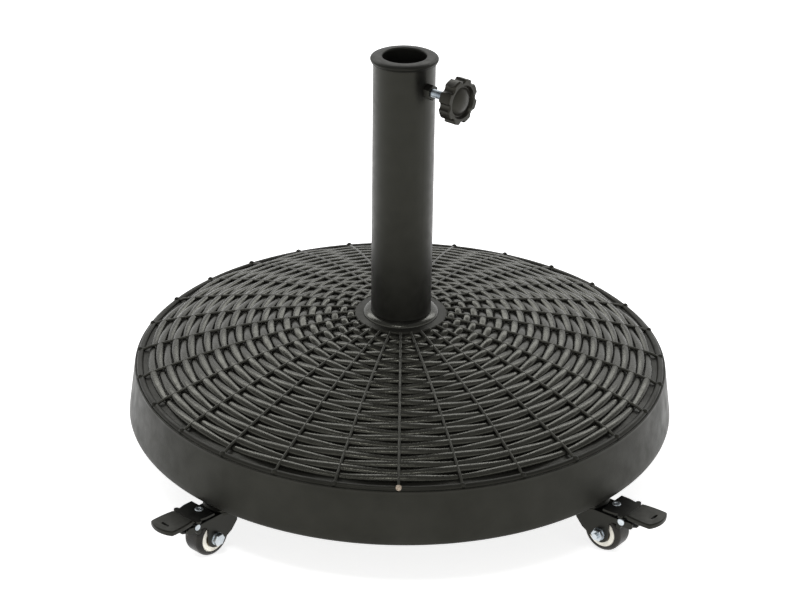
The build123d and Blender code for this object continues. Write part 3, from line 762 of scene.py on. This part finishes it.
# %% [markdown]
# Where a cord meets the border it is pinned by a round stud, which is a flattened ball with a thin collar
# round its foot. The one on the front spoke has been knocked, and shows the filler under the skin, so it
# is a piece of its own with its own finish.

# %% Model the studs
stud_radius = 2.2 * MM
stud_height = 1.6 * MM
stud_collar = 0.45 * MM


def rim_stud():
    """One stud, standing on the border at its outer side, on the X axis."""
    stud = turned(
        "rim_stud",
        [(0, -stud_height), (stud_radius + stud_collar, -stud_height)]
        + arc((stud_radius, -0.1 * MM), stud_collar, -10, 120, 5)
        + [(stud_radius - 0.1 * MM, -0.05 * MM)]
        + [(stud_radius * cos(turn), stud_height * sin(turn)) for turn in np.radians([12, 30, 50, 70, 90])],
        20,
    )
    slant = radians(stud_turn)
    reach = border_roll + 0.15 * MM
    place = (border_radius + reach * cos(slant), 0, rim_height - rim_drop + reach * sin(slant))
    stud.data.transform(facing(place, (cos(slant), 0, sin(slant))))
    return stud


pattern = rim_stud()
worn_stud = name_it(copy_turned(pattern, front_spoke), "worn_stud")
studs = [copy_turned(pattern, front_spoke + index * tau / spoke_count) for index in range(1, spoke_count)]
bpy.data.objects.remove(pattern)
settle(join(studs, "rim_studs"), "base", finishes["woven_shell"], 50)
settle(worn_stud, "base", finishes["worn"], 50)

# %% [markdown]
# ## The cap on the tube
# The cap is a moulded ring with a thick soft lip, a thin step under it, and a spigot inside the tube. The
# casting has its sizes; here it is turned again with a swelling top face, a faint groove near its edge and
# round corners, because the light draws a thin line along each of them.

# %% Turn the cap
cap_bore = 20 * MM
cap_top = cap_high[2]
lip_radius = cap_high[0]
tube_top = tube_high[2]
spigot_radius = tube_radius - 1.6 * MM
mouth_round = 1.6 * MM
lip_round = 1.9 * MM
step_round = 0.5 * MM
lip_foot = tube_top + 1 * MM
swell = [
    (cap_bore + 3.2 * MM, cap_top),
    (cap_bore + 5.2 * MM, cap_top - 0.15 * MM),
    (cap_bore + 7.2 * MM, cap_top - 0.55 * MM),
    (lip_radius - 2.6 * MM, cap_top - 1.0 * MM),
    (lip_radius - 2.2 * MM, cap_top - 1.25 * MM),
    (lip_radius - 1.9 * MM, cap_top - 1.05 * MM),
]
outline = (
    [(cap_bore, cap_low[2]), (cap_bore, cap_top - 3 * MM)]
    + arc((cap_bore + mouth_round, cap_top - mouth_round), mouth_round, 180, 90, 7)
    + swell
    + arc((lip_radius - lip_round, lip_foot + lip_round), lip_round, 50, -60, 9)
    + arc((lip_radius - 1.5 * MM, tube_top + step_round), step_round, 40, -80, 5)
    + [(tube_radius - 1 * MM, tube_top), (spigot_radius, tube_top), (spigot_radius, cap_low[2])]
)
soft_cap = turned("soft_cap", outline, 128)
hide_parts("top_cap")
settle(soft_cap, "base", finishes["cap_plastic"], 50)

# %% [markdown]
# ## The clamp screw
# A plain rod would give the clamp away, so the screw gets a real thread. One tooth of it is drawn as an
# open line, one pitch high, and the Screw modifier repeats it upwards as it turns, which makes a helix in
# one step. Both ends are then cut off square and closed with Bisect, and the hole for the pad's pin is
# taken out of the inner end. The pitch is the clamp's own: how far the pad moves for one turn of the knob.

# %% Sizes of the thread
clamp_joint = joint_of["knob_turn"]
clamp_inward = Vector(clamp_joint["axis"])
clamp_height = clamp_joint["pos_m"][2]
coupling = frame["record"]["behaviour"]["couplings"][0]
thread_pitch = tau / coupling["ratio"]
screw_radius = 4 * MM
thread_depth = 0.72 * MM
screw_inner = 26.4 * MM
screw_outer = 56.2 * MM
pin_hole = 1.57 * MM
pin_hole_depth = 4.6 * MM
print(f"thread pitch {thread_pitch / MM:.2f} mm")


def cut_square(piece, height, outward):
    """Cut a piece off at this height and close the cut."""
    take(piece)
    bpy.ops.object.mode_set(mode="EDIT")
    bpy.ops.mesh.select_all(action="SELECT")
    bpy.ops.mesh.bisect(
        plane_co=(0, 0, height), plane_no=(0, 0, outward), use_fill=True, clear_outer=True, threshold=1e-7
    )
    bpy.ops.object.mode_set(mode="OBJECT")


# %% [markdown]
# The circle's points become the tooth, and the one edge that closes it is deleted, which leaves the open
# line that the thread needs. Its heights are given as shares of the pitch.

# %% Draw one tooth and wind it up
root = screw_radius - thread_depth
tooth = [(root, 0), (root, 0.12), (screw_radius, 0.44), (screw_radius, 0.62), (root, 0.94), (root, 1)]
start_clean()
bpy.ops.mesh.primitive_circle_add(vertices=len(tooth), radius=1)
threaded_screw = name_it(bpy.context.object, "threaded_screw")
radii, heights = np.array(tooth).T
move_points(threaded_screw, np.stack([radii, 0 * radii, heights * thread_pitch], 1))
bpy.ops.object.mode_set(mode="EDIT")
bpy.ops.mesh.select_mode(type="EDGE")
bpy.ops.mesh.select_all(action="DESELECT")
bpy.ops.object.mode_set(mode="OBJECT")
for edge in threaded_screw.data.edges:
    edge.select = set(edge.vertices) == {0, len(tooth) - 1}
bpy.ops.object.mode_set(mode="EDIT")
bpy.ops.mesh.delete(type="EDGE")
bpy.ops.object.mode_set(mode="OBJECT")
turns_of_thread = round((screw_outer - screw_inner) / thread_pitch) + 3
apply_modifier(
    threaded_screw, "SCREW", axis="Z", angle=tau, steps=28, render_steps=28, screw_offset=thread_pitch,
    iterations=turns_of_thread, use_merge_vertices=True, merge_threshold=0.001 * MM,
)
threaded_screw.data.transform(Matrix.Translation((0, 0, screw_inner - 1.5 * thread_pitch)))
print("turns of thread before the ends are cut", turns_of_thread)

# %% [markdown]
# The rod is healed before and after the cuts, because an open seam would leave a cut with no clean loop to
# fill. The drill is a plain cylinder that Boolean takes away and that is then removed.

# %% Cut the ends and drill the pin's hole
heal(threaded_screw)
cut_square(threaded_screw, screw_inner, -1)
cut_square(threaded_screw, screw_outer, 1)
heal(threaded_screw)

start_clean()
bpy.ops.mesh.primitive_cylinder_add(
    vertices=24, radius=pin_hole, depth=2 * pin_hole_depth, location=(0, 0, screw_inner)
)
drill = bpy.context.object
apply_modifier(threaded_screw, "BOOLEAN", operation="DIFFERENCE", object=drill, solver="EXACT")
bpy.data.objects.remove(drill)
threaded_screw.data.transform(facing((0, 0, clamp_height), -clamp_inward))
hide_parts("clamp_screw")
settle(threaded_screw, "clamp_knob", finishes["zinc"], 35)

# %% [markdown]
# ## Softened edges
# Pressed and moulded parts have no knife edges. Each of these castings is copied, its loose triangles are
# merged into one skin, flat areas are dissolved into single faces, and a narrow bevel rounds the sharp
# edges, so that each edge catches a thin line of light. Weighted normals then keep the flat faces flat.
# The copy takes the casting's place.

# %% Soften the castings
corners = ("front_left", "front_right", "rear_right", "rear_left")


def softened(node_name, width, segments=2, angle=35):
    """A bevelled copy of a casting, which stands in for it."""
    casting = frame["nodes"][node_name]
    twin = bpy.data.objects.new(f"soft_{node_name}", casting.data.copy())
    bpy.context.scene.collection.objects.link(twin)
    take(twin)
    bpy.ops.mesh.customdata_custom_splitnormals_clear()
    heal(twin, 0.004 * MM)
    bpy.ops.object.mode_set(mode="EDIT")
    bpy.ops.mesh.select_all(action="SELECT")
    bpy.ops.mesh.dissolve_limited(angle_limit=radians(0.6))
    bpy.ops.object.mode_set(mode="OBJECT")
    apply_modifier(
        twin, "BEVEL", width=width, segments=segments, limit_method="ANGLE", angle_limit=radians(angle),
        use_clamp_overlap=True, miter_outer="MITER_ARC",
    )
    heal(twin, 0.002 * MM)
    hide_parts(node_name)
    slot = slot_of[node_name]
    settle(twin, body_of[node_name], finishes[slot], 40)
    apply_modifier(twin, "WEIGHTED_NORMAL", keep_sharp=True)
    return twin


edge_widths = {
    "castor_fork": 0.45 * MM,
    "brake_lever": 0.4 * MM,
    "axle_bolt": 0.25 * MM,
    "axle_nut": 0.25 * MM,
}
softened("clamp_nut", 0.3 * MM)
for corner in corners:
    for name, width in edge_widths.items():
        softened(f"{corner}_{name}", width)

# %% [markdown]
# ## Floor, light and camera
# Black glossy things are lit by what they mirror. The base stands on a white table that glows a little of
# its own, so that it throws light up at the side wall and no hard shadow forms. The table is a wide plane.

# %% Floor
start_clean()
bpy.ops.mesh.primitive_plane_add(size=14)
floor = bpy.context.object
floor.name = "studio_floor"
floor_paint, floor_tree = new_finish("floor_paint", (0.93, 0.93, 0.93), 0.9, specular=0.0)
floor_shader = floor_tree.nodes["Principled BSDF"]
floor_shader.inputs["Emission Color"].default_value = (1, 1, 1, 1)
floor_shader.inputs["Emission Strength"].default_value = 0.75
floor.data.materials.append(floor_paint)
print("floor set")

# %% [markdown]
# The sky round the table is bright near the horizon and greyer above, which draws a bright line down both
# sides of the tube. A long strip high behind lights the far edge of every strand, and one lamp above the
# front adds the small glints.

# %% Lamps
def soft_light(name, place, aim, size, power):
    """A large rectangular lamp that faces a point."""
    lamp = bpy.data.lights.new(name, "AREA")
    lamp.shape = "RECTANGLE"
    lamp.size, lamp.size_y = size
    lamp.energy = power
    holder = bpy.data.objects.new(name, lamp)
    bpy.context.scene.collection.objects.link(holder)
    holder.location = place
    holder.rotation_euler = (Vector(aim) - Vector(place)).to_track_quat("-Z", "Y").to_euler()
    return holder


middle = (0, 0, 0.15)
soft_light("back_strip", (0.0, 1.8, 1.85), middle, (4.5, 0.8), 40)
soft_light("front_lamp", (-0.35, -1.3, 2.2), middle, (0.7, 0.25), 9)
print("lamps set")

# %% [markdown]
# The sky's strength follows the height of the direction looked at: full below a band, and lower above it.

# %% Sky
sky_low = 1.0
sky_high = 0.3
band_top = 0.40
band_fade = 0.48
world = bpy.data.worlds.new("studio_world")
bpy.context.scene.world = world
world.use_nodes = True
world_tree = world.node_tree
sky = world_tree.nodes["Background"]
sky.inputs["Color"].default_value = (1, 1, 1, 1)
direction = node(world_tree, "ShaderNodeTexCoord").outputs["Generated"]
height = node(world_tree, "ShaderNodeSeparateXYZ")
world_tree.links.new(direction, height.inputs["Vector"])
fade = spread(world_tree, height.outputs["Z"], band_top, band_fade, sky_low, sky_high)
world_tree.links.new(fade, sky.inputs["Strength"])
print("sky fades from", sky_low, "to", sky_high)

# %% [markdown]
# A long lens from a little over two metres keeps the rim's ellipse calm. The camera stands on the line of
# the front spoke, looks down at the base and leans over by less than a degree.

# %% Camera
camera_azimuth = front_spoke
camera_elevation = radians(26.37)
camera_distance = 2.1092
camera_roll = 0.0140
aim_height = 0.1617
aim_sideways = -1.05 * MM

lens = bpy.data.cameras.new("portrait_lens")
lens.sensor_width = 36
lens.lens = 100.2
camera = bpy.data.objects.new("portrait_camera", lens)
bpy.context.scene.collection.objects.link(camera)
away = Vector(
    (
        cos(camera_azimuth) * cos(camera_elevation),
        sin(camera_azimuth) * cos(camera_elevation),
        sin(camera_elevation),
    )
)
to_right = Vector((-sin(camera_azimuth), cos(camera_azimuth), 0))
aim = to_right * aim_sideways + Vector((0, 0, aim_height))
turn = Matrix((to_right, away.cross(to_right), away)).transposed()
camera.matrix_world = (
    Matrix.Translation(aim + away * camera_distance)
    @ turn.to_4x4()
    @ Matrix.Rotation(camera_roll, 4, "Z")
)
bpy.context.scene.camera = camera
bpy.context.scene.view_settings.view_transform = "Standard"
print("camera at", [round(value, 3) for value in camera.matrix_world.translation])
